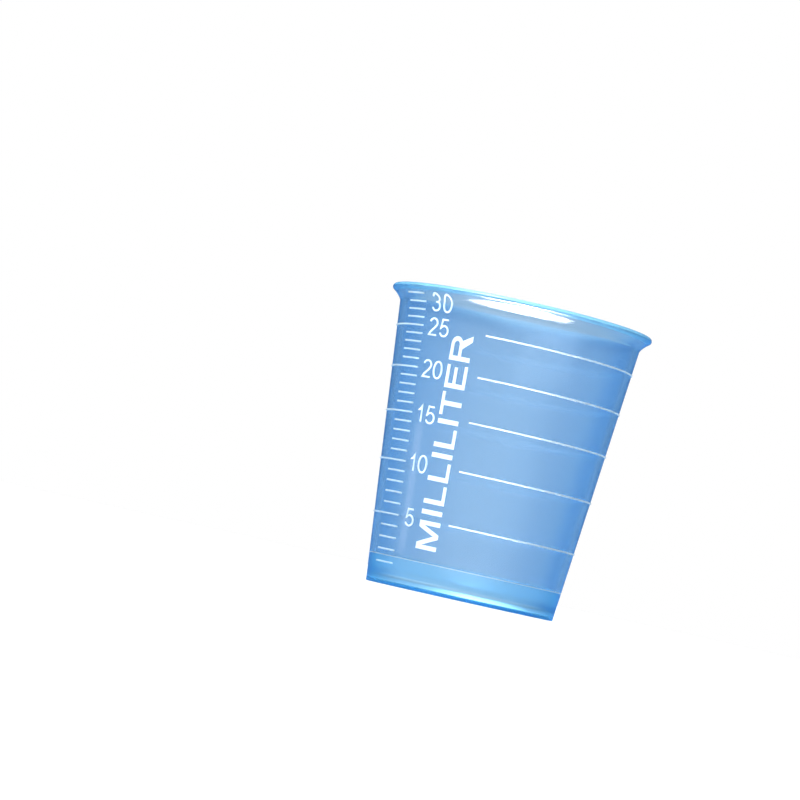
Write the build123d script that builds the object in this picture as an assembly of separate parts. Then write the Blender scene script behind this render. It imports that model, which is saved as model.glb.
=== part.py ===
from build123d import *
from math import acos, asin, atan2, ceil, cos, degrees, hypot, pi, radians, sin, sqrt, tan
import os

# A disposable medicine cup, moulded in one piece. Millimetres and degrees, +Z up.
# The origin is the centre of the foot on the table. The front, with the scale, faces -Y.
# Every section below is drawn as (distance from the axis, height) and turned about +Z.

# Outside of the cup
height = 43.0  # table to the top of the lip
base_diameter = 27.63  # outside, at the table
wall_lean = 5.56  # lean of the straight wall from upright
wall = 0.8  # wall thickness, square to the wall

# Foot, floor and the ledge that keeps nested cups from wedging
foot_width = 1.3  # radial width of the ring that stands on the table
foot_recess = 0.6  # how far the floor's underside is lifted off the table
floor_thickness = 0.6
floor_fillet = 1.5  # round between floor and wall, inside
ledge_height = 4.15  # table to the ledge
ledge_depth = 0.3  # how far the wall steps inwards below the ledge
gate_diameter = 2.4  # nub left by the moulding gate, under the floor
gate_height = 0.3

# Flared mouth with a full round lip
lip_radius = 0.42
flare_radius = 4.5  # of the hollow curve under the lip
flare_start = 31.0  # lean of that curve where it leaves the wall
flare_end = 55.0  # lean of that curve where it runs into the lip
kink_blend = 0.2  # softened this far each side of where the flare leaves the wall

# Edges and rounds
foot_chamfer = 0.15  # on the outer edge of the foot
chord_error = 0.03  # rounds are drawn in chords that stay this close to the true round

# Raised scale: a short line for every millilitre, a long one for every fifth
millilitre = 1000.0  # cubic millimetres
long_line_every = 5
line_width = 0.3
line_proud = 0.15  # how far a line's crest stands out of the wall
line_root = 0.2  # how deep a line reaches into the wall, to be one with it
short_line_start = -64.1  # angle from the front, to the left
short_line_length = 4.22
long_line_start = -14.3  # angle from the front; the gap holds the numbers

# Worked out from the sizes above
slope = tan(radians(wall_lean))
floor_height = foot_recess + floor_thickness
inner_base_radius = base_diameter / 2 - wall / cos(radians(wall_lean))
lip_height = height - lip_radius


def leaning(angle):
    """Unit vector that climbs a surface with this lean."""
    return (sin(radians(angle)), cos(radians(angle)))


def facing(angle):
    """Unit vector that points out of a surface with this lean."""
    return (cos(radians(angle)), -sin(radians(angle)))


def step(point, direction, distance):
    """The point that lies this far along the direction."""
    return (point[0] + direction[0] * distance, point[1] + direction[1] * distance)


def outer_radius(z):
    """Outside of the straight wall at a height."""
    return base_diameter / 2 + slope * z


def inner_radius(z):
    """Inside of the straight wall at a height, above the ledge."""
    return inner_base_radius + slope * z


# The flare starts where its curve, counted down from the lip, reaches the wall
kink_height = (
    lip_height
    - lip_radius * sin(radians(flare_end))
    - flare_radius * (sin(radians(flare_end)) - sin(radians(flare_start)))
)
kink = (outer_radius(kink_height), kink_height)
flare_centre = step(kink, facing(flare_start), flare_radius)
lip_centre = step(flare_centre, facing(flare_end), -flare_radius - lip_radius)


def inner_kink():
    """Where the inside of the straight wall meets the inside of the flare, a round
    about the same centre and one lip thickness larger."""
    along = leaning(wall_lean)
    offset = (inner_base_radius - flare_centre[0], -flare_centre[1])
    nearest = offset[0] * along[0] + offset[1] * along[1]
    spare = hypot(*offset) ** 2 - (flare_radius + 2 * lip_radius) ** 2
    return step((inner_base_radius, 0), along, sqrt(nearest**2 - spare) - nearest)


def wall_point(z):
    """Radius and lean of the outside at a height, on the straight wall or the flare."""
    if z <= kink_height:
        return outer_radius(z), wall_lean
    lean = degrees(asin((z - flare_centre[1]) / flare_radius))
    return flare_centre[0] - flare_radius * cos(radians(lean)), lean


def cone_volume(low, high, radius_at):
    """Volume of a round space with a straight leaning wall between two heights."""
    return pi / (3 * slope) * (radius_at(high) ** 3 - radius_at(low) ** 3)


def below_ledge(z):
    """Inside of the thicker wall below the ledge."""
    return inner_radius(z) - ledge_depth


def level(millilitres):
    """Height to which the cup is filled. The flare's small extra room is left out."""
    corner = (1 - pi / 4) * floor_fillet**2
    lost = corner * 2 * pi * (below_ledge(floor_height) - floor_fillet / 4)
    volume = millilitres * millilitre + lost
    in_well = cone_volume(floor_height, ledge_height, below_ledge)
    if volume < in_well:
        cube = below_ledge(floor_height) ** 3 + 3 * slope / pi * volume
        return (cube ** (1 / 3) + ledge_depth - inner_base_radius) / slope
    cube = inner_radius(ledge_height) ** 3 + 3 * slope / pi * (volume - in_well)
    return (cube ** (1 / 3) - inner_base_radius) / slope


def round_points(centre, radius, first, last):
    """Points of a round from one angle to another, close enough for chord_error."""
    turn = last - first
    chords = ceil(abs(turn) / degrees(2 * acos(1 - chord_error / radius)))
    angles = [radians(first + turn * count / chords) for count in range(chords + 1)]
    return [step(centre, (cos(angle), sin(angle)), radius) for angle in angles]


def cup_section():
    """Half section of the cup, from the middle of the floor round under the foot, up
    the outside, over the lip and down the inside."""
    foot_radius = base_diameter / 2
    foot_inside = foot_radius - foot_width
    gate_radius = gate_diameter / 2
    underside = [
        (0, floor_height),
        (0, foot_recess - gate_height),
        (gate_radius, foot_recess - gate_height),
        (gate_radius, foot_recess),
        (foot_inside, foot_recess),
        (foot_inside, 0),
        (foot_radius - foot_chamfer, 0),
        (outer_radius(foot_chamfer), foot_chamfer),
    ]

    inner_flare_radius = flare_radius + 2 * lip_radius
    inner_corner = inner_kink()
    inner_start = degrees(
        atan2(inner_corner[1] - flare_centre[1], inner_corner[0] - flare_centre[0])
    )
    outer_flare = round_points(
        flare_centre,
        flare_radius,
        180 - flare_start - degrees(kink_blend / flare_radius),
        180 - flare_end,
    )
    lip = round_points(lip_centre, lip_radius, -flare_end, 180 - flare_end)
    inner_flare = round_points(
        flare_centre,
        inner_flare_radius,
        180 - flare_end,
        inner_start - degrees(kink_blend / inner_flare_radius),
    )
    mouth = [
        step(kink, leaning(wall_lean), -kink_blend),
        *outer_flare,
        *lip[1:-1],
        *inner_flare,
        step(inner_corner, leaning(wall_lean), -kink_blend),
    ]

    fillet_height = floor_height + floor_fillet
    fillet_centre = (
        below_ledge(fillet_height) - floor_fillet / cos(radians(wall_lean)),
        fillet_height,
    )
    inside = [
        (inner_radius(ledge_height), ledge_height),
        (below_ledge(ledge_height), ledge_height),
        *round_points(fillet_centre, floor_fillet, -wall_lean, -90),
    ]
    outline = Polyline(*underside, *mouth, *inside, close=True)
    return Plane.XZ * make_face(outline)


def raised_line(z, start, sweep):
    """A raised line round the wall, from an angle at the front through a sweep."""
    radius, lean = wall_point(z)
    frame = Plane(
        origin=(radius, 0, z),
        x_dir=(facing(lean)[0], 0, facing(lean)[1]),
        z_dir=(0, -1, 0),
    )
    ridge = Polygon(
        (-line_root, -line_width / 2),
        (0, -line_width / 2),
        (line_proud, 0),
        (0, line_width / 2),
        (-line_root, line_width / 2),
        align=None,
    )
    line = revolve(frame * ridge, Axis.Z, sweep)
    return line.rotate(Axis.Z, start - 90)


def scale_lines():
    """The short and long lines, from one millilitre up to the last below the lip."""
    lines = []
    count = 1
    top = lip_height - lip_radius * sin(radians(flare_end)) - line_width
    while level(count) < top:
        z = level(count)
        short_sweep = degrees(short_line_length / wall_point(z)[0])
        if count % long_line_every:
            lines.append(raised_line(z, short_line_start, short_sweep))
        else:
            end = 360 + short_line_start + short_sweep
            lines.append(raised_line(z, long_line_start, end - long_line_start))
        count += 1
    return lines


def make_cup():
    """The whole cup: the turned section with the scale fused to it."""
    body = revolve(cup_section(), Axis.Z, 360)
    return body.fuse(*scale_lines())


os.makedirs("parts", exist_ok=True)
cup = make_cup()
cup.label = "cup"
export_step(cup, "parts/cup.step")
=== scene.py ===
import math

import bmesh
import bpy
import numpy as np
from mathutils import Matrix, Vector


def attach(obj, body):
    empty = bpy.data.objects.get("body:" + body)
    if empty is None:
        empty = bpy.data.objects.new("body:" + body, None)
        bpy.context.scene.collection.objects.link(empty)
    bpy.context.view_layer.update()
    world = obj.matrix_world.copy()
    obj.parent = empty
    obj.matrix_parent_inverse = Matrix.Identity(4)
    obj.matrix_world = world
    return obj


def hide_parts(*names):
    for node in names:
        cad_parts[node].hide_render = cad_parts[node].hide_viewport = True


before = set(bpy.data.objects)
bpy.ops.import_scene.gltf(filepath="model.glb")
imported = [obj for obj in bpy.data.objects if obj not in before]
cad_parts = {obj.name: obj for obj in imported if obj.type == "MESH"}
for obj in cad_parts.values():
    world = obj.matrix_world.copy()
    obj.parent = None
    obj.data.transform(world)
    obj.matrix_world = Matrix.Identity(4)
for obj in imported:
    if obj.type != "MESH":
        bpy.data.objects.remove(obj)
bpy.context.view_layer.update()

# Shapes are worked out in millimetres, with the scale's side of the cup facing -Y, and
# are written to the meshes in metres.
MM = 0.001

# The cup's own sizes, the same as in the part's source
HEIGHT = 43.0
BASE_RADIUS = 27.63 / 2
LEAN = math.radians(5.56)
WALL = 0.8
FOOT_WIDTH = 1.3
FOOT_RECESS = 0.6
FLOOR_THICKNESS = 0.6
FLOOR_FILLET = 1.5
LEDGE_HEIGHT = 4.15
LEDGE_DEPTH = 0.3
GATE_RADIUS = 1.2
GATE_HEIGHT = 0.3
LIP_RADIUS = 0.42
FLARE_RADIUS = 4.5
FLARE_START = math.radians(31.0)
FLARE_END = math.radians(55.0)
KINK_BLEND = 0.2

# The raised scale
LONG_LINE_EVERY = 5
LINE_WIDTH = 0.25
LINE_PROUD = 0.15
MARK_ROOT = 0.06
SHORT_LINE_START = -64.1
SHORT_LINE_LENGTH = 4.22
LONG_LINE_START = -14.3
TOP_LINE_GAP = 0.3
DIGIT_HEIGHT = 2.62
DIGIT_STROKE = 0.27
TENS_ANGLE = -43.0
UNITS_ANGLE = -36.25
SINGLE_ANGLE = -39.2
TOP_NUMBER_HEIGHT = 40.6
WORD_ANGLE = -25.3
LETTER_HEIGHT = 3.2
WORD_PROUD = 0.15
WORD_BEVEL = 0.05

SLOPE = math.tan(LEAN)
FLOOR_HEIGHT = FOOT_RECESS + FLOOR_THICKNESS
INNER_BASE_RADIUS = BASE_RADIUS - WALL / math.cos(LEAN)
LIP_HEIGHT = HEIGHT - LIP_RADIUS
KINK_HEIGHT = (
    LIP_HEIGHT
    - LIP_RADIUS * math.sin(FLARE_END)
    - FLARE_RADIUS * (math.sin(FLARE_END) - math.sin(FLARE_START))
)
KINK_RADIUS = BASE_RADIUS + SLOPE * KINK_HEIGHT
FLARE_CENTRE = (
    KINK_RADIUS + FLARE_RADIUS * math.cos(FLARE_START),
    KINK_HEIGHT - FLARE_RADIUS * math.sin(FLARE_START),
)
LIP_CENTRE = (
    FLARE_CENTRE[0] - (FLARE_RADIUS + LIP_RADIUS) * math.cos(FLARE_END),
    FLARE_CENTRE[1] + (FLARE_RADIUS + LIP_RADIUS) * math.sin(FLARE_END),
)


def wall_at(z):
    """Radius and lean of the outside at heights: a straight cone up to the kink, and
    above it the round about the flare's centre."""
    z = np.asarray(z, float)
    rise = np.clip((z - FLARE_CENTRE[1]) / FLARE_RADIUS, 0.0, 0.98)
    lean = np.where(z > KINK_HEIGHT, np.arcsin(rise), LEAN)
    flare = FLARE_CENTRE[0] - FLARE_RADIUS * np.cos(lean)
    return np.where(z > KINK_HEIGHT, flare, BASE_RADIUS + SLOPE * z), lean


def on_wall(angle, z, proud):
    """Places on the outside: turned by an angle from the front, at a height, and stood
    off square to the wall."""
    radius, lean = wall_at(z)
    out = radius + proud * np.cos(lean)
    up = z - proud * np.sin(lean)
    return np.stack([out * np.sin(angle), -out * np.cos(angle), up], -1)


def level(millilitres):
    """Height of a fill: the cone's volume solved for its height, first in the narrower
    well below the ledge and then in the wall above it."""
    well_radius = INNER_BASE_RADIUS - LEDGE_DEPTH + SLOPE * FLOOR_HEIGHT
    ledge_well = INNER_BASE_RADIUS - LEDGE_DEPTH + SLOPE * LEDGE_HEIGHT
    ledge_radius = INNER_BASE_RADIUS + SLOPE * LEDGE_HEIGHT
    corner = (1 - math.pi / 4) * FLOOR_FILLET**2
    lost = corner * 2 * math.pi * (well_radius - FLOOR_FILLET / 4)
    volume = millilitres * 1000 + lost
    in_well = math.pi / (3 * SLOPE) * (ledge_well**3 - well_radius**3)
    if volume < in_well:
        cube = well_radius**3 + 3 * SLOPE / math.pi * volume
        return (cube ** (1 / 3) + LEDGE_DEPTH - INNER_BASE_RADIUS) / SLOPE
    cube = ledge_radius**3 + 3 * SLOPE / math.pi * (volume - in_well)
    return (cube ** (1 / 3) - INNER_BASE_RADIUS) / SLOPE


def make_piece(name, points, faces, material, smooth_angle=35.0):
    """A mesh object in metres that rides on the cup's one body."""
    mesh = bpy.data.meshes.new(name)
    mesh.from_pydata((np.asarray(points) * MM).tolist(), [], faces)
    mesh.validate()
    mesh.update()
    piece = bpy.data.objects.new(name, mesh)
    bpy.context.scene.collection.objects.link(piece)
    mesh.materials.append(material)
    mesh.shade_smooth()
    mesh.set_sharp_from_angle(angle=math.radians(smooth_angle))
    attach(piece, "root")
    return piece


def outward(piece):
    """Turns a closed mesh's faces to point outwards."""
    bm = bmesh.new()
    bm.from_mesh(piece.data)
    bmesh.ops.recalc_face_normals(bm, faces=bm.faces)
    bm.to_mesh(piece.data)
    bm.free()


def finish_faces(piece, finishes):
    """Gives further materials to faces whose middle lies in a band of heights and
    within a distance of the axis. A later band wins."""
    mesh = piece.data
    centre = np.empty(len(mesh.polygons) * 3)
    mesh.polygons.foreach_get("center", centre)
    x, y, z = centre.reshape(-1, 3).T / MM
    index = np.zeros(len(mesh.polygons), np.int32)
    for low, high, within, material in finishes:
        mesh.materials.append(material)
        chosen = (z >= low) & (z < high) & (np.hypot(x, y) < within)
        index[chosen] = len(mesh.materials) - 1
    mesh.polygons.foreach_set("material_index", index)


# The cup itself


def round_points(centre, radius, first, last, count):
    """Points of a circle's arc between two angles, in degrees."""
    angle = np.radians(np.linspace(first, last, count))
    return np.stack(
        [centre[0] + radius * np.cos(angle), centre[1] + radius * np.sin(angle)], -1
    )


def run_points(start, end, count):
    """Evenly spaced points of a straight run, ends included."""
    share = np.linspace(0, 1, count)[:, None]
    return np.asarray(start) * (1 - share) + np.asarray(end) * share


def softened(start, corner, end, count=5):
    """A corner between two straight ends, rounded as a curve of second degree."""
    share = np.linspace(0, 1, count)[:, None]
    start, corner, end = np.asarray(start), np.asarray(corner), np.asarray(end)
    return (
        start * (1 - share) ** 2 + corner * 2 * share * (1 - share) + end * share**2
    )


def on_cone(z):
    """A point of the section on the outside of the straight wall."""
    return (BASE_RADIUS + SLOPE * z, z)


def inner_kink():
    """Where the inside of the straight wall meets the round inside the flare."""
    along = np.array([math.sin(LEAN), math.cos(LEAN)])
    start = np.array([INNER_BASE_RADIUS, 0.0])
    offset = start - np.array(FLARE_CENTRE)
    nearest = offset @ along
    spare = offset @ offset - (FLARE_RADIUS + 2 * LIP_RADIUS) ** 2
    return start + along * (math.sqrt(nearest**2 - spare) - nearest)


def cup_profile():
    """Half section of the cup as (distance from the axis, height), from the middle of
    the underside round the foot, up the outside, over the lip and down the inside."""
    foot_inside = BASE_RADIUS - FOOT_WIDTH
    underside = FOOT_RECESS - GATE_HEIGHT
    gate_round, gate_corner, recess_round = 0.1, 0.08, 0.15
    ring_round, foot_round, ledge_soft = 0.08, 0.16, 0.07
    along = np.array([math.sin(LEAN), math.cos(LEAN)])
    kink = np.array([KINK_RADIUS, KINK_HEIGHT])
    corner = inner_kink()
    start = math.degrees(FLARE_START)
    end = math.degrees(FLARE_END)
    blend = math.degrees(KINK_BLEND / FLARE_RADIUS)
    inner_radius = FLARE_RADIUS + 2 * LIP_RADIUS
    inner_start = math.degrees(
        math.atan2(corner[1] - FLARE_CENTRE[1], corner[0] - FLARE_CENTRE[0])
    )
    inner_blend = math.degrees(KINK_BLEND / inner_radius)
    outer_flare = round_points(
        FLARE_CENTRE, FLARE_RADIUS, 180 - start - blend, 180 - end, 14
    )
    inner_flare = round_points(
        FLARE_CENTRE, inner_radius, 180 - end, inner_start - inner_blend, 14
    )
    fillet_z = FLOOR_HEIGHT + FLOOR_FILLET
    well_radius = INNER_BASE_RADIUS - LEDGE_DEPTH
    fillet_centre = (
        well_radius + SLOPE * fillet_z - FLOOR_FILLET / math.cos(LEAN),
        fillet_z,
    )
    ledge = np.array([INNER_BASE_RADIUS + SLOPE * LEDGE_HEIGHT, LEDGE_HEIGHT])
    ledge_lip = ledge - np.array([LEDGE_DEPTH, 0])
    parts = [
        run_points((0.0, underside), (GATE_RADIUS - gate_round, underside), 5),
        softened(
            (GATE_RADIUS - gate_round, underside),
            (GATE_RADIUS, underside),
            (GATE_RADIUS, underside + gate_round),
        ),
        softened(
            (GATE_RADIUS, FOOT_RECESS - gate_corner),
            (GATE_RADIUS, FOOT_RECESS),
            (GATE_RADIUS + gate_corner, FOOT_RECESS),
        ),
        run_points((GATE_RADIUS + 0.4, FOOT_RECESS), (foot_inside - 0.5, FOOT_RECESS), 9),
        softened(
            (foot_inside - recess_round, FOOT_RECESS),
            (foot_inside, FOOT_RECESS),
            (foot_inside, FOOT_RECESS - recess_round),
        ),
        softened(
            (foot_inside, ring_round), (foot_inside, 0.0), (foot_inside + ring_round, 0.0)
        ),
        softened((BASE_RADIUS - foot_round, 0.0), (BASE_RADIUS, 0.0), on_cone(foot_round)),
        run_points(on_cone(FOOT_RECESS), on_cone(FLOOR_HEIGHT + 0.1), 3),
        run_points(on_cone(FLOOR_HEIGHT + 0.5), on_cone(LEDGE_HEIGHT - ledge_soft), 5),
        [on_cone(LEDGE_HEIGHT + ledge_soft)],
        run_points(
            on_cone(LEDGE_HEIGHT + 0.7), kink - along * (KINK_BLEND + 0.5), 44
        ),
        softened(kink - along * KINK_BLEND, kink, outer_flare[0]),
        outer_flare[1:],
        round_points(LIP_CENTRE, LIP_RADIUS, -end, 180 - end, 21)[1:-1],
        inner_flare,
        softened(inner_flare[-1], corner, corner - along * KINK_BLEND)[1:],
        run_points(corner - along * (KINK_BLEND + 0.5), ledge + along * 0.5, 44),
        softened(ledge + along * ledge_soft, ledge, ledge - [ledge_soft, 0]),
        softened(
            ledge_lip + [ledge_soft, 0], ledge_lip, ledge_lip - along * ledge_soft
        ),
        run_points(
            ledge_lip - along * 0.3,
            (well_radius + SLOPE * (fillet_z + 0.3), fillet_z + 0.3),
            4,
        ),
        round_points(fillet_centre, FLOOR_FILLET, -math.degrees(LEAN), -90, 13),
        run_points(
            (fillet_centre[0] - 0.5, FLOOR_HEIGHT), (0.0, FLOOR_HEIGHT), 12
        ),
    ]
    return np.concatenate(parts)


def turned(profile, segments):
    """Points and faces of a profile turned about the axis, its two ends being poles on
    the axis. Every ring but the poles has one point per segment."""
    rings = profile[1:-1]
    angle = np.linspace(0, 2 * math.pi, segments, endpoint=False)
    ring = np.stack(
        [
            rings[:, None, 0] * np.sin(angle),
            -rings[:, None, 0] * np.cos(angle),
            np.broadcast_to(rings[:, None, 1], (len(rings), segments)),
        ],
        -1,
    ).reshape(-1, 3)
    poles = np.array([[0, 0, profile[0, 1]], [0, 0, profile[-1, 1]]])
    row, column = np.meshgrid(
        np.arange(len(rings) - 1), np.arange(segments), indexing="ij"
    )
    after = (column + 1) % segments
    quads = np.stack(
        [
            row * segments + column,
            row * segments + after,
            (row + 1) * segments + after,
            (row + 1) * segments + column,
        ],
        -1,
    ).reshape(-1, 4)
    last = (len(rings) - 1) * segments
    first_pole, last_pole = len(ring), len(ring) + 1
    step = np.arange(segments)
    ahead = (step + 1) % segments
    bottom = np.stack([np.full(segments, first_pole), ahead, step], -1)
    top = np.stack([np.full(segments, last_pole), last + step, last + ahead], -1)
    faces = quads.tolist() + bottom.tolist() + top.tolist()
    return np.concatenate([ring, poles]), faces


# Strokes and plates laid on the wall


def ridge_section(width, proud):
    """A stroke's section as (across, proud): a half ellipse on a short root."""
    turn = np.linspace(0, math.pi, 9)
    crest = np.stack([width / 2 * np.cos(turn), proud * np.sin(turn) ** 0.8], -1)
    root = [(-width / 2, -MARK_ROOT), (width / 2, -MARK_ROOT)]
    return np.concatenate([crest, root])


def stroke_frame(path, closed):
    """Left normals of a path, lengthened at its corners so that the sides stay
    parallel to the runs."""
    if closed:
        ahead = np.roll(path, -1, 0) - path
        behind = np.roll(ahead, 1, 0)
    else:
        run = np.diff(path, axis=0)
        ahead = np.concatenate([run, run[-1:]])
        behind = np.concatenate([run[:1], run])
    ahead = ahead / np.linalg.norm(ahead, axis=1)[:, None]
    behind = behind / np.linalg.norm(behind, axis=1)[:, None]
    both = ahead + behind
    both = both / np.linalg.norm(both, axis=1)[:, None]
    mitre = 1 / np.clip((both * ahead).sum(1), 0.5, 1)
    return np.stack([-both[:, 1], both[:, 0]], -1) * mitre[:, None]


def stroke(path, width, proud, place, closed=False, rounded=True):
    """A ridge swept along a flat path (across, up) and laid on the wall by place,
    with round ends: the section shrinks there as the root of a half circle."""
    path = np.asarray(path, float)
    section = ridge_section(width, proud)
    scale = np.ones(len(path))
    if rounded and not closed:
        half = width / 2
        share = np.array([0.0, 0.12, 0.4, 0.7])
        head = path[0] + (path[1] - path[0]) / np.linalg.norm(path[1] - path[0]) * (
            share[:, None] * half
        )
        tail = path[-1] + (path[-2] - path[-1]) / np.linalg.norm(path[-2] - path[-1]) * (
            share[::-1, None] * half
        )
        path = np.concatenate([head, path[1:-1], tail])
        ends = np.sqrt(1 - (1 - share) ** 2 * 0.93)
        scale = np.concatenate([ends, np.ones(len(path) - 8), ends[::-1]])
    normal = stroke_frame(path, closed)
    across = section[None, :, 0] * scale[:, None]
    rise = section[None, :, 1]
    high = np.where(rise > 0, rise * scale[:, None], rise)
    flat = path[:, None, :] + normal[:, None, :] * across[..., None]
    points = place(flat[..., 0], flat[..., 1], high)
    count, around = points.shape[:2]
    rows = count if closed else count - 1
    row, column = np.meshgrid(np.arange(rows), np.arange(around), indexing="ij")
    below = (row + 1) % count
    after = (column + 1) % around
    faces = np.stack(
        [
            row * around + column,
            below * around + column,
            below * around + after,
            row * around + after,
        ],
        -1,
    ).reshape(-1, 4).tolist()
    if not closed:
        faces.append(list(range(around)))
        faces.append([(count - 1) * around + i for i in range(around)][::-1])
    return points.reshape(-1, 3), faces


def joined(shapes):
    """Several (points, faces) made one, their faces counted on."""
    points, faces, start = [], [], 0
    for shape_points, shape_faces in shapes:
        points.append(shape_points)
        faces += [[start + i for i in face] for face in shape_faces]
        start += len(shape_points)
    return np.concatenate(points), faces


def line_on_wall(z, first, sweep):
    """A raised line at one height, from an angle through a sweep, in degrees."""
    steps = max(6, int(abs(sweep) / 1.4))
    angle = np.radians(np.linspace(first, first + sweep, steps))
    radius = float(wall_at(z)[0])
    path = np.stack([angle * radius, np.zeros(steps)], -1)

    def place(across, up, proud):
        lean = float(wall_at(z)[1])
        return on_wall(across / radius, z + up * math.cos(lean), proud)

    return stroke(path, LINE_WIDTH, LINE_PROUD, place, rounded=False)


def scale_lines():
    """Short and long lines for every millilitre below the lip."""
    short, long_ones = [], []
    top = LIP_HEIGHT - LIP_RADIUS * math.sin(FLARE_END) - TOP_LINE_GAP
    count = 1
    while level(count) < top:
        z = level(count)
        sweep = math.degrees(SHORT_LINE_LENGTH / float(wall_at(z)[0]))
        if count % LONG_LINE_EVERY:
            short.append(line_on_wall(z, SHORT_LINE_START, sweep))
        else:
            end = 360 + SHORT_LINE_START + sweep
            long_ones.append(line_on_wall(z, LONG_LINE_START, end - LONG_LINE_START))
        count += 1
    return joined(short), joined(long_ones)


# Numbers, drawn as strokes in a cell whose centre is the origin


def arc(centre, across, up, first, last, count):
    """Part of an ellipse, from one angle to another in degrees."""
    turn = np.radians(np.linspace(first, last, count))
    return np.stack([centre[0] + across * np.cos(turn), centre[1] + up * np.sin(turn)], -1)


def smooth_path(points, count):
    """A curve through points, each coordinate eased between them in the way of a
    cardinal spline."""
    points = np.asarray(points, float)
    ends = np.concatenate(
        [2 * points[:1] - points[1:2], points, 2 * points[-1:] - points[-2:-1]]
    )
    place = np.linspace(0, len(points) - 1, count)
    knot = np.minimum(place.astype(int), len(points) - 2)
    t = (place - knot)[:, None]
    a, b, c, d = ends[knot], ends[knot + 1], ends[knot + 2], ends[knot + 3]
    return 0.5 * (
        2 * b
        + (c - a) * t
        + (2 * a - 5 * b + 4 * c - d) * t**2
        + (3 * b - a - 3 * c + d) * t**3
    )


def digit_strokes(digit):
    """Centre lines of a digit as (path, closed) pairs."""
    high = (DIGIT_HEIGHT - DIGIT_STROKE) / 2
    wide = 0.69
    if digit == "0":
        turn = np.linspace(0, 2 * math.pi, 44, endpoint=False)
        squash = 0.88
        ring = np.stack(
            [
                wide * np.sign(np.cos(turn)) * np.abs(np.cos(turn)) ** squash,
                high * np.sin(turn),
            ],
            -1,
        )
        return [(ring, True)]
    if digit == "1":
        flag = smooth_path([(-0.36, 0.50), (-0.02, 0.72), (0.25, high)], 10)
        return [(np.concatenate([flag, [(0.25, -high)]]), False)]
    if digit == "2":
        top = arc((0.0, high - 0.62), 0.70, 0.62, 168, -28, 22)
        tail = smooth_path([top[-1], (0.22, -0.18), (-0.40, -0.72), (-0.72, -high)], 16)
        return [(np.concatenate([top[:-1], tail, [(0.74, -high)]]), False)]
    if digit == "3":
        upper = arc((-0.02, high - 0.56), 0.58, 0.56, 165, -72, 22)
        upper = np.concatenate([upper, [(-0.16, 0.04)]])
        lower = arc((-0.02, -high + 0.64), 0.70, 0.64, 74, -166, 26)
        lower = np.concatenate([[(-0.16, 0.04)], lower])
        return [(upper, False), (lower, False)]
    bar = [(0.56, high), (-0.40, high), (-0.60, -0.02)]
    bowl = arc((-0.02, -high + 0.74), 0.69, 0.74, 140, -158, 28)
    return [(np.concatenate([bar, bowl]), False)]


def number_shapes(text, z):
    """The strokes of one number, its middle at a height on the wall."""
    angles = [SINGLE_ANGLE] if len(text) == 1 else [TENS_ANGLE, UNITS_ANGLE]
    shapes = []
    for digit, angle in zip(text, angles):
        centre = math.radians(angle)

        def place(across, up, proud, centre=centre):
            height = z + up * math.cos(LEAN)
            return on_wall(centre + across / wall_at(height)[0], height, proud)

        for path, closed in digit_strokes(digit):
            shapes.append(stroke(path, DIGIT_STROKE, LINE_PROUD, place, closed))
    return shapes


def numbers():
    """The numbers 5 to 30 by fives."""
    shapes = []
    for count in range(5, 31, LONG_LINE_EVERY):
        z = min(level(count), TOP_NUMBER_HEIGHT)
        shapes += number_shapes(str(count), z)
    return joined(shapes)


# The unit's word, as raised plates that read up the wall


def bar(x0, x1, y0, y1):
    """A rectangle's outline."""
    return np.array([(x0, y0), (x1, y0), (x1, y1), (x0, y1)])


def letter_outlines(letter):
    """Outlines of one letter, with x along the reading direction from its left side and
    y from the baseline. A later outline inside the first is a hole."""
    cap, stem, thin = LETTER_HEIGHT, 0.65, 0.46
    if letter == "I":
        return [bar(0, stem, 0, cap)]
    if letter == "L":
        wide = 2.68
        return [
            np.array([(0, 0), (wide, 0), (wide, thin), (stem, thin), (stem, cap), (0, cap)])
        ]
    if letter == "T":
        wide, left = 3.29, 1.34
        return [
            np.array(
                [
                    (left, 0),
                    (left + stem, 0),
                    (left + stem, cap - thin),
                    (wide, cap - thin),
                    (wide, cap),
                    (0, cap),
                    (0, cap - thin),
                    (left, cap - thin),
                ]
            )
        ]
    if letter == "E":
        wide, middle, low = 3.29, 2.98, 1.52
        return [
            np.array(
                [
                    (0, 0),
                    (wide, 0),
                    (wide, thin),
                    (stem, thin),
                    (stem, low),
                    (middle, low),
                    (middle, low + thin),
                    (stem, low + thin),
                    (stem, cap - thin),
                    (wide, cap - thin),
                    (wide, cap),
                    (0, cap),
                ]
            )
        ]
    if letter == "M":
        wide, apex = 4.08, 0.6
        left, right = (wide - apex) / 2, (wide + apex) / 2
        return [
            np.array(
                [
                    (0, 0),
                    (stem * 0.95, 0),
                    (stem * 0.95, cap - 0.75),
                    (left, 0),
                    (right, 0),
                    (wide - stem * 0.95, cap - 0.75),
                    (wide - stem * 0.95, 0),
                    (wide, 0),
                    (wide, cap),
                    (wide - stem - 0.28, cap),
                    (wide / 2, 0.78),
                    (stem + 0.28, cap),
                    (0, cap),
                ]
            )
        ]
    low, top = 1.40, cap
    middle = (low + top) / 2
    bowl = arc((2.25, middle), 1.18, (top - low) / 2, -60, 90, 18)
    hole = arc((2.20, middle), 0.62, (top - low) / 2 - thin, -90, 90, 16)
    outer = np.concatenate(
        [
            [(0, 0), (stem, 0), (stem, low), (1.72, low), (2.92, 0), (3.74, 0)],
            bowl,
            [(0, cap)],
        ]
    )
    inner = np.concatenate([[(stem, low + thin)], hole, [(stem, top - thin)]])
    return [outer, inner]


# The letters, each with the height at which it starts
WORD = (
    ("M", 6.01),
    ("I", 11.00),
    ("L", 12.52),
    ("L", 15.78),
    ("I", 19.10),
    ("L", 20.61),
    ("I", 23.94),
    ("T", 25.19),
    ("E", 29.04),
    ("R", 32.96),
)


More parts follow.
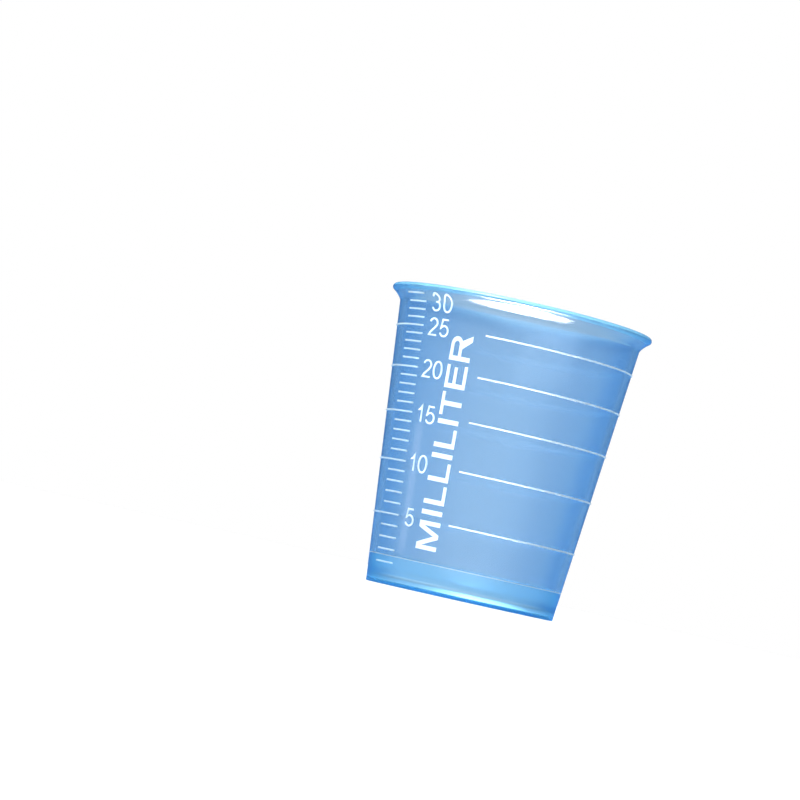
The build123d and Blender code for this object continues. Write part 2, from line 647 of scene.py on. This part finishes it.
# Doubled points are merged this close together, and plates are cut in strips this wide
DOUBLES_WITHIN = 0.0005
STRIP_WIDTH = 0.2


def plate_mesh(outlines, thickness, bevel):
    """Flat outlines filled, thickened and bevelled as one curve, then cut across in
    narrow strips so that the plates can follow the wall's round."""
    curve = bpy.data.curves.new("word_outline", "CURVE")
    curve.dimensions = "2D"
    curve.fill_mode = "BOTH"
    curve.extrude = thickness / 2 - bevel
    curve.bevel_depth = bevel
    curve.bevel_resolution = 2
    curve.offset = -bevel
    for outline in outlines:
        spline = curve.splines.new("POLY")
        spline.points.add(len(outline) - 1)
        flat = np.concatenate(
            [outline, np.zeros((len(outline), 1)), np.ones((len(outline), 1))], 1
        )
        spline.points.foreach_set("co", flat.ravel())
        spline.use_cyclic_u = True
    holder = bpy.data.objects.new("word_outline", curve)
    mesh = bpy.data.meshes.new_from_object(holder)
    bm = bmesh.new()
    bm.from_mesh(mesh)
    bmesh.ops.remove_doubles(bm, verts=bm.verts, dist=DOUBLES_WITHIN)
    for cut in np.arange(-1.4, 1.45, STRIP_WIDTH):
        bmesh.ops.bisect_plane(
            bm,
            geom=bm.verts[:] + bm.edges[:] + bm.faces[:],
            plane_co=(0, cut, 0),
            plane_no=(0, 1, 0),
        )
    bmesh.ops.recalc_face_normals(bm, faces=bm.faces)
    bm.verts.ensure_lookup_table()
    points = np.array([v.co for v in bm.verts])
    faces = [[v.index for v in face.verts] for face in bm.faces]
    bm.free()
    bpy.data.objects.remove(holder)
    bpy.data.curves.remove(curve)
    bpy.data.meshes.remove(mesh)
    return points, faces


def unit_word():
    """The word's plates on the wall: the reading direction goes up the wall and the
    letters' tops point left, round the cup."""
    outlines = []
    for letter, start in WORD:
        for outline in letter_outlines(letter):
            outlines.append(outline + [start / math.cos(LEAN), -LETTER_HEIGHT / 2])
    thickness = WORD_PROUD + MARK_ROOT
    points, faces = plate_mesh(outlines, thickness, WORD_BEVEL)
    z = points[:, 0] * math.cos(LEAN)
    proud = points[:, 2] + thickness / 2 - MARK_ROOT
    angle = math.radians(WORD_ANGLE) - points[:, 1] / wall_at(z)[0]
    return on_wall(angle, z, proud), faces


# Materials


def new_material(name):
    material = bpy.data.materials.new(name)
    material.use_nodes = True
    return material, material.node_tree


def group_socket(group, name, side, kind="NodeSocketFloat", value=None):
    """One named input or output of a node group."""
    socket = group.interface.new_socket(name=name, in_out=side, socket_type=kind)
    if value is not None:
        socket.default_value = value


def sum_node(tree, value, factor, start):
    """A node that works out value times factor plus start. Each may be a socket."""
    node = tree.nodes.new("ShaderNodeMath")
    node.operation = "MULTIPLY_ADD"
    for socket, given in zip(node.inputs, (value, factor, start)):
        if isinstance(given, (int, float)):
            socket.default_value = given
        else:
            tree.links.new(given, socket)
    return node.outputs["Value"]


def moulded_skin():
    """Node group for the skin of moulded plastic: long waves that the flow left up the
    wall and a fine grain. It puts out a roughness, a height and a tint."""
    group = bpy.data.node_groups.new("moulded_skin", "ShaderNodeTree")
    group_socket(group, "Place", "INPUT", "NodeSocketVector")
    group_socket(group, "Wave Scale", "INPUT", value=150.0)
    group_socket(group, "Grain Scale", "INPUT", value=2600.0)
    group_socket(group, "Grain Share", "INPUT", value=0.2)
    group_socket(group, "Smoothness", "INPUT", value=0.1)
    group_socket(group, "Haze", "INPUT", value=0.1)
    group_socket(group, "Cloud", "INPUT", value=0.1)
    for name in ("Roughness", "Height", "Tint"):
        group_socket(group, name, "OUTPUT")
    given = group.nodes.new("NodeGroupInput").outputs
    result = group.nodes.new("NodeGroupOutput").inputs
    stretch = group.nodes.new("ShaderNodeMapping")
    stretch.inputs["Scale"].default_value = (1.0, 1.0, 0.3)
    waves = group.nodes.new("ShaderNodeTexNoise")
    waves.inputs["Detail"].default_value = 2.0
    grain = group.nodes.new("ShaderNodeTexNoise")
    grain.inputs["Detail"].default_value = 1.0
    link = group.links.new
    link(given["Place"], stretch.inputs["Vector"])
    link(stretch.outputs["Vector"], waves.inputs["Vector"])
    link(given["Wave Scale"], waves.inputs["Scale"])
    link(given["Place"], grain.inputs["Vector"])
    link(given["Grain Scale"], grain.inputs["Scale"])
    wave, speck = waves.outputs["Fac"], grain.outputs["Fac"]
    link(sum_node(group, speck, given["Grain Share"], wave), result["Height"])
    link(sum_node(group, wave, given["Haze"], given["Smoothness"]), result["Roughness"])
    clouded = sum_node(group, wave, given["Cloud"], 1.0)
    link(sum_node(group, given["Cloud"], -0.5, clouded), result["Tint"])
    return group


SKIN = moulded_skin()
PLASTIC_IOR = 1.49


def skin(tree, depth, **values):
    """Places the moulded skin in a material, with its own values, and joins it to the
    shader's roughness and normal. Gives back the tint. Depth is in metres."""
    shader = tree.nodes["Principled BSDF"]
    group = tree.nodes.new("ShaderNodeGroup")
    group.node_tree = SKIN
    for name, value in values.items():
        group.inputs[name.replace("_", " ").title()].default_value = value
    place = tree.nodes.new("ShaderNodeTexCoord")
    bump = tree.nodes.new("ShaderNodeBump")
    bump.inputs["Strength"].default_value = 1.0
    bump.inputs["Distance"].default_value = depth
    tree.links.new(place.outputs["Object"], group.inputs["Place"])
    tree.links.new(group.outputs["Roughness"], shader.inputs["Roughness"])
    tree.links.new(group.outputs["Height"], bump.inputs["Height"])
    tree.links.new(bump.outputs["Normal"], shader.inputs["Normal"])
    return group.outputs["Tint"]


def tinted(tree, colour, tint):
    """Joins a colour, times a tint, to the shader's base colour."""
    mix = tree.nodes.new("ShaderNodeMix")
    mix.data_type = "RGBA"
    mix.blend_type = "MULTIPLY"
    mix.inputs["Factor"].default_value = 1.0
    if isinstance(colour, tuple):
        mix.inputs["A"].default_value = (*colour, 1)
    else:
        tree.links.new(colour, mix.inputs["A"])
    tree.links.new(tint, mix.inputs["B"])
    shader = tree.nodes["Principled BSDF"]
    tree.links.new(mix.outputs["Result"], shader.inputs["Base Color"])


def by_slant(tree, stops):
    """A clear plastic's colour, deeper and darker where it is seen at a slant. A little of
    this is the longer way light has through it there; most of it is painted shade along
    the edges. Stops are (slant, colour) pairs."""
    slant = tree.nodes.new("ShaderNodeLayerWeight")
    slant.inputs["Blend"].default_value = 0.5
    ramp = tree.nodes.new("ShaderNodeValToRGB")
    elements = ramp.color_ramp.elements
    while len(elements) < len(stops):
        elements.new(0.5)
    for element, (place, colour) in zip(elements, stops):
        element.position = place
        element.color = (*colour, 1)
    tree.links.new(slant.outputs["Facing"], ramp.inputs["Fac"])
    return ramp.outputs["Color"]


def plastic(name, stops, transmission, smoothness):
    """Clear coloured plastic with a small milky share: what isn't let through is
    scattered in the same colour."""
    material, tree = new_material(name)
    shader = tree.nodes["Principled BSDF"]
    shader.inputs["IOR"].default_value = PLASTIC_IOR
    shader.inputs["Transmission Weight"].default_value = transmission
    tint = skin(
        tree, 0.000012, wave_scale=150.0, grain_scale=2600.0, grain_share=0.05,
        smoothness=smoothness, haze=0.08, cloud=0.06,
    )
    tinted(tree, by_slant(tree, stops), tint)
    return material


# Colours of the plastic by slant, from face on (0) to edge on (1); the deepening towards
# edge on is mostly painted shade
WALL_TINT = (
    (0.0, (0.540, 0.720, 0.900)),
    (0.18, (0.450, 0.655, 0.880)),
    (0.35, (0.400, 0.630, 0.870)),
    (0.60, (0.200, 0.510, 0.870)),
    (0.92, (0.070, 0.320, 0.840)),
)
# Painted glow: the outside below the ledge is a milkier copy of the plastic, standing for
# light gathered near the base
WELL_GLOW_TINT = (
    (0.0, (0.29, 0.60, 0.86)),
    (0.35, (0.19, 0.51, 0.84)),
    (0.65, (0.07, 0.40, 0.82)),
    (0.92, (0.04, 0.28, 0.78)),
)
# Painted glow: the inside below the ledge, the floor and the recess are a paler, fully
# clear copy, standing for light that the floor gathers
FLOOR_GLOW_TINT = (
    (0.0, (0.70, 0.88, 0.98)),
    (0.92, (0.60, 0.82, 0.98)),
)
# Painted shade: the foot ring is a deeper blue, standing for the shade in the gap under the
# cup
FOOT_SHADE_TINT = (
    (0.0, (0.09, 0.44, 0.76)),
    (0.92, (0.07, 0.38, 0.76)),
)
# Painted light: the top of the lip is a paler, milkier copy, standing for light along the
# lip's edge
LIP_LIGHT_TINT = (
    (0.0, (0.42, 0.84, 0.97)),
    (0.92, (0.20, 0.60, 0.95)),
)


MARK_COLOUR = (0.86, 0.97, 1.0)


def mark_material(name, transmission):
    """Frosted raised plastic, pale against the wall."""
    material, tree = new_material(name)
    shader = tree.nodes["Principled BSDF"]
    shader.inputs["IOR"].default_value = PLASTIC_IOR
    shader.inputs["Transmission Weight"].default_value = transmission
    tint = skin(
        tree, 0.00001, wave_scale=900.0, grain_scale=9000.0, grain_share=1.0,
        smoothness=0.42, haze=0.16, cloud=0.08,
    )
    tinted(tree, MARK_COLOUR, tint)
    return material


def ray_kinds(tree):
    """Masks from the kind of ray: a mirror image, light seen through something, and
    scattered light."""
    path = tree.nodes.new("ShaderNodeLightPath")
    mirrored = tree.nodes.new("ShaderNodeMath")
    mirrored.operation = "SUBTRACT"
    mirrored.use_clamp = True
    through = path.outputs["Is Transmission Ray"]
    tree.links.new(path.outputs["Is Glossy Ray"], mirrored.inputs[0])
    tree.links.new(through, mirrored.inputs[1])
    return mirrored.outputs["Value"], through, path.outputs["Is Diffuse Ray"]


def between(tree, mask, low, high):
    """A value that goes from low to high with a mask; low may be a socket."""
    blend = tree.nodes.new("ShaderNodeMix")
    blend.data_type = "FLOAT"
    tree.links.new(mask, blend.inputs["Factor"])
    if isinstance(low, (int, float)):
        blend.inputs["A"].default_value = low
    else:
        tree.links.new(low, blend.inputs["A"])
    blend.inputs["B"].default_value = high
    return blend.outputs["Result"]


def blended(tree, mask, low, high):
    """A colour that goes from low to high with a mask; low may be a socket."""
    blend = tree.nodes.new("ShaderNodeMix")
    blend.data_type = "RGBA"
    tree.links.new(mask, blend.inputs["Factor"])
    if isinstance(low, tuple):
        blend.inputs["A"].default_value = (*low, 1)
    else:
        tree.links.new(low, blend.inputs["A"])
    blend.inputs["B"].default_value = (*high, 1)
    return blend.outputs["Result"]


# The room's colour as the plastic mirrors it, and its upper part's seen through plastic
MIRRORED_BLUE = (0.09, 0.30, 0.78)
UPPER_ROOM = (0.60, 0.72, 0.80)
STAGE_SHADE = 0.80
STAGE_GLOW = 0.88
STAGE_MIRRORED_SHARE = 0.6


def stage_material():
    """Pale matt floor, dim and blue in mirror images as the room is, and evenly bright
    where it is seen through the plastic."""
    material, tree = new_material("pale_floor")
    shader = tree.nodes["Principled BSDF"]
    shader.inputs["Roughness"].default_value = 0.8
    shader.inputs["Specular IOR Level"].default_value = 0.0
    mirror_mask, through_mask, _ = ray_kinds(tree)
    shade = between(tree, through_mask, STAGE_SHADE, 0.0)
    dim = tuple(STAGE_MIRRORED_SHARE * share for share in MIRRORED_BLUE)
    tree.links.new(blended(tree, mirror_mask, shade, dim), shader.inputs["Base Color"])
    shader.inputs["Emission Color"].default_value = (1, 1, 1, 1)
    glow = between(tree, through_mask, 0.0, STAGE_GLOW)
    tree.links.new(glow, shader.inputs["Emission Strength"])
    return material


blue_plastic = plastic("blue_wall", WALL_TINT, 0.97, 0.10)
# Copies of the wall's plastic that paint glow, light, shade and a highlight band; then the
# frosted plastic of the raised scale
well_glow_plastic = plastic("painted_glow_well", WELL_GLOW_TINT, 0.75, 0.28)
floor_glow_plastic = plastic("painted_glow_floor", FLOOR_GLOW_TINT, 1.0, 0.06)
lip_light_plastic = plastic("painted_light_lip", LIP_LIGHT_TINT, 0.45, 0.15)
foot_shade_plastic = plastic("painted_shade_foot", FOOT_SHADE_TINT, 0.85, 0.15)
# Painted highlight: a pale frosted band round the outside at the ledge's height, standing
# for the ledge's bright line
ledge_highlight_plastic = mark_material("painted_ledge_highlight", 0.85)
line_plastic = mark_material("frosted_line", 0.72)
number_plastic = mark_material("frosted_number", 0.55)
word_plastic = mark_material("frosted_word", 0.4)

CUP_SEGMENTS = 256

# Limits of the bands of painted light and shade: distances from the axis, and heights of
# the thin bands
ANYWHERE = 99.0
LEDGE_HIGHLIGHT_HALF = 0.06
LIP_BAND = 0.45
FLOOR_REACH = BASE_RADIUS - 0.3
RECESS_REACH = 12.4

cup = make_piece("cup_body", *turned(cup_profile(), CUP_SEGMENTS), blue_plastic)
outward(cup)
# Bands of faces that get the copies of the plastic with painted glow, light, shade and
# highlight
finish_faces(
    cup,
    [
        # painted glow on the outside below the ledge
        (FOOT_RECESS, LEDGE_HEIGHT, ANYWHERE, well_glow_plastic),
        # painted highlight line at the ledge's height
        (
            LEDGE_HEIGHT - LEDGE_HIGHLIGHT_HALF,
            LEDGE_HEIGHT + LEDGE_HIGHLIGHT_HALF,
            ANYWHERE,
            ledge_highlight_plastic,
        ),
        # painted light along the lip
        (HEIGHT - LIP_BAND, HEIGHT + 1.0, ANYWHERE, lip_light_plastic),
        # painted glow on the inside below the ledge and on the floor
        (-1.0, LEDGE_HEIGHT + 0.1, FLOOR_REACH, floor_glow_plastic),
        # painted shade on the foot
        (-1.0, FOOT_RECESS + 0.05, ANYWHERE, foot_shade_plastic),
        # painted glow under the floor, in the recess
        (
            FOOT_RECESS - GATE_HEIGHT - 0.1,
            FOOT_RECESS + 0.05,
            RECESS_REACH,
            floor_glow_plastic,
        ),
    ],
)
short_shape, long_shape = scale_lines()
short_lines = make_piece("short_lines", *short_shape, line_plastic)
long_lines = make_piece("long_lines", *long_shape, line_plastic)
number_marks = make_piece("numbers", *numbers(), number_plastic)
word_marks = make_piece("unit_word", *unit_word(), word_plastic)
for mark in (short_lines, long_lines, number_marks, word_marks):
    outward(mark)
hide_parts("cup")
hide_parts("cup")
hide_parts("cup")


# Stage, lights and camera


def round_floor(radius):
    """A flat round floor: one face whose corners lie evenly on a circle."""
    corners = 64
    angle = np.linspace(0, 2 * math.pi, corners, endpoint=False)
    rim = np.stack([radius * np.cos(angle), radius * np.sin(angle), 0 * angle], -1)
    mesh = bpy.data.meshes.new("floor")
    mesh.from_pydata(rim.tolist(), [], [list(range(corners))])
    floor = bpy.data.objects.new("floor", mesh)
    bpy.context.scene.collection.objects.link(floor)
    mesh.materials.append(stage_material())


def area_light(name, place, aim, width, height, power):
    """A flat oblong light that faces a point. Places and sizes are in metres."""
    light = bpy.data.lights.new(name, "AREA")
    light.energy = power
    light.shape = "RECTANGLE"
    light.size = width
    light.size_y = height
    lamp = bpy.data.objects.new(name, light)
    lamp.location = place
    direction = Vector(aim) - Vector(place)
    lamp.rotation_mode = "QUATERNION"
    lamp.rotation_quaternion = direction.to_track_quat("-Z", "Y")
    bpy.context.scene.collection.objects.link(lamp)
    lamp.visible_camera = False
    return lamp


def sun_light(name, side, width, power, shadow):
    """A wide soft light from far off, the same all over the floor."""
    light = bpy.data.lights.new(name, "SUN")
    light.energy = power
    light.angle = math.radians(width)
    light.use_shadow = shadow
    lamp = bpy.data.objects.new(name, light)
    lamp.rotation_mode = "QUATERNION"
    lamp.rotation_quaternion = (-Vector(side)).to_track_quat("-Z", "Y")
    bpy.context.scene.collection.objects.link(lamp)
    lamp.visible_transmission = False
    return lamp


def soft_card(name, place, aim, size, radiance, fade, spread=180.0, through=False):
    """A bright card that is only seen mirrored in the plastic, or only through it. Its
    places and sizes are in millimetres, and a narrow spread fades it towards the sides.
    It is a stack of cards, each narrower than the last, so that it fades out over a
    share of its width."""
    layers = 6
    for layer in range(layers):
        width = size[0] * (1 - fade * layer / layers)
        area = width * size[1] * MM * MM
        power = radiance / layers * math.pi * area
        start = [value * MM for value in place]
        end = [value * MM for value in aim]
        card = area_light(
            f"{name}_{layer}", start, end, width * MM, size[1] * MM, power
        )
        card.data.spread = math.radians(spread)
        card.visible_diffuse = False
        card.visible_glossy = not through
        card.visible_transmission = through
        card.visible_volume_scatter = False


# Upward part of the direction at which the upper room begins, and where it is full
UPPER_ROOM_FROM = 0.0790
UPPER_ROOM_FULL = 0.0845


def studio_world(seen, mirrored, through, scattered):
    """A white studio. Surfaces mirror a dim blue room instead of the one that is seen,
    its upper part is dimmer where it is seen through plastic, and its even light is
    weaker than the lamps."""
    world = bpy.data.worlds.new("studio")
    world.use_nodes = True
    tree = world.node_tree
    background = tree.nodes["Background"]
    mirror_mask, through_mask, scatter_mask = ray_kinds(tree)
    place = tree.nodes.new("ShaderNodeTexCoord")
    parts = tree.nodes.new("ShaderNodeSeparateXYZ")
    above = tree.nodes.new("ShaderNodeMapRange")
    above.inputs["From Min"].default_value = UPPER_ROOM_FROM
    above.inputs["From Max"].default_value = UPPER_ROOM_FULL
    both = tree.nodes.new("ShaderNodeMath")
    both.operation = "MULTIPLY"
    tree.links.new(place.outputs["Generated"], parts.inputs["Vector"])
    tree.links.new(parts.outputs["Z"], above.inputs["Value"])
    tree.links.new(above.outputs["Result"], both.inputs[0])
    tree.links.new(through_mask, both.inputs[1])
    hue = blended(tree, both.outputs["Value"], (1, 1, 1), UPPER_ROOM)
    hue = blended(tree, mirror_mask, hue, MIRRORED_BLUE)
    tree.links.new(hue, background.inputs["Color"])
    strength = between(tree, mirror_mask, seen, mirrored)
    strength = between(tree, through_mask, strength, through)
    strength = between(tree, scatter_mask, strength, scattered)
    tree.links.new(strength, background.inputs["Strength"])
    bpy.context.scene.world = world


CAMERA_DISTANCE = 475.66
CAMERA_HEIGHT = 3.0
CAMERA_AIM = (-14.660, 0.0, 26.564)
CAMERA_ROLL = math.radians(12.555)
SENSOR_WIDTH = 36.0
FRAME_PIXELS = 800
FOCAL_PIXELS = 3275.4


def photo_camera():
    """The photograph's view: nearly level with the table, turned about its own axis so
    that the cup leans to the right."""
    data = bpy.data.cameras.new("photo_view")
    data.sensor_width = SENSOR_WIDTH
    data.lens = SENSOR_WIDTH * FOCAL_PIXELS / FRAME_PIXELS
    data.clip_start = 0.02
    data.clip_end = 10.0
    camera = bpy.data.objects.new("photo_view", data)
    place = Vector((0, -CAMERA_DISTANCE, CAMERA_HEIGHT)) * MM
    aim = Vector(CAMERA_AIM) * MM
    turn = (aim - place).to_track_quat("-Z", "Y").to_matrix()
    roll = Matrix.Rotation(CAMERA_ROLL, 3, "Z")
    camera.matrix_world = Matrix.Translation(place) @ (turn @ roll).to_4x4()
    bpy.context.scene.collection.objects.link(camera)
    bpy.context.scene.camera = camera


round_floor(radius=1.5)
studio_world(seen=1.0, mirrored=0.6, through=0.9, scattered=0.6)
sun_light("key", (-0.44, -0.57, 0.70), width=24.0, power=2.8, shadow=False)
sun_light("top", (-0.2, -0.1, 0.97), width=50.0, power=1.2, shadow=True)

# Cards that the plastic mirrors: name, place, aim, size, radiance
soft_card(
    "flare_card", (-14, -30, 0.7), (-14, -29.9, 10), (80, 31), 65.0, spread=60.0, fade=0.5
)
soft_card("streak_card", (-150, -190, 210), (0, 16, 40), (330, 230), 12.0, fade=0.5)
soft_card("lip_card", (-30, 111, 270), (5, 16, 42), (150, 70), 25.0, fade=0.5)
soft_card("side_card", (-45, -14, 10.5), (-10, -11, 14.6), (7, 20), 9.0, fade=0.6)

# Cards that are seen through the plastic
soft_card(
    "floor_card", (1, 16, 0.65), (1, 0, 0.65), (3, 0.9), 9.0,
    spread=70.0, fade=0.8, through=True,
)
soft_card(
    "back_card", (-4.5, 45, 24), (-4.5, 0, 24), (26, 48), 0.22, fade=0.9, through=True
)

photo_camera()
bpy.context.scene.view_settings.view_transform = "Standard"
bpy.context.scene.cycles.max_bounces = 24
bpy.context.scene.cycles.transmission_bounces = 24
bpy.context.scene.cycles.glossy_bounces = 8
